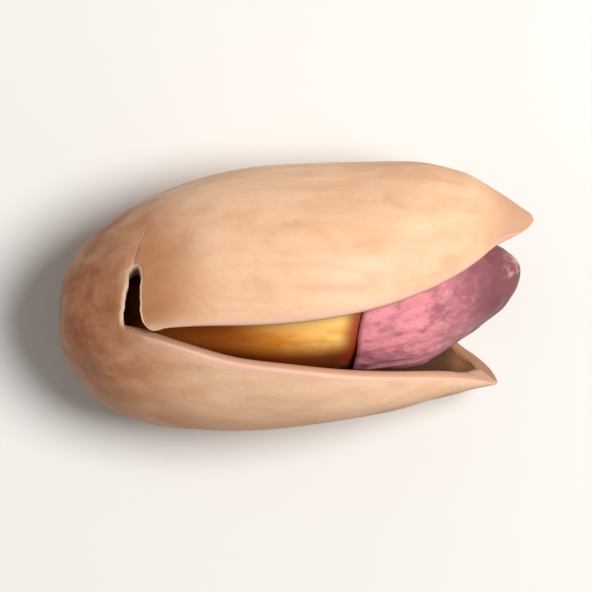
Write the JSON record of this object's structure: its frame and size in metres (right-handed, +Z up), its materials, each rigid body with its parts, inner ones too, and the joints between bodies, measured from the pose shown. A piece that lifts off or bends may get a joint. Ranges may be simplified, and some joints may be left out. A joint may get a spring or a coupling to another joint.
{
  "type": "pistachio in shell",
  "caption": "Pistachio nut lying on its back, its cream shell split open along one suture, with the kernel and its torn skin inside.",
  "frame": {"origin": "centre of the bounding box's footprint, on the surface that the nut rests on", "axes": "+X along the nut from the stem end to the beak, +Y to the beaked valve's side, +Z up, out of the open split"},
  "size_m": [0.022, 0.0124, 0.0113],
  "materials": {
    "shell": "dry matte shell, cream with a brown stem end",
    "kernel": "waxy yellow seed flesh",
    "kernel_skin": "papery pink and purple seed skin"
  },
  "bodies": {
    "root": {"shell": "shell", "kernel": "kernel", "kernel_skin": "kernel_skin"}
  },
  "joints": []
}
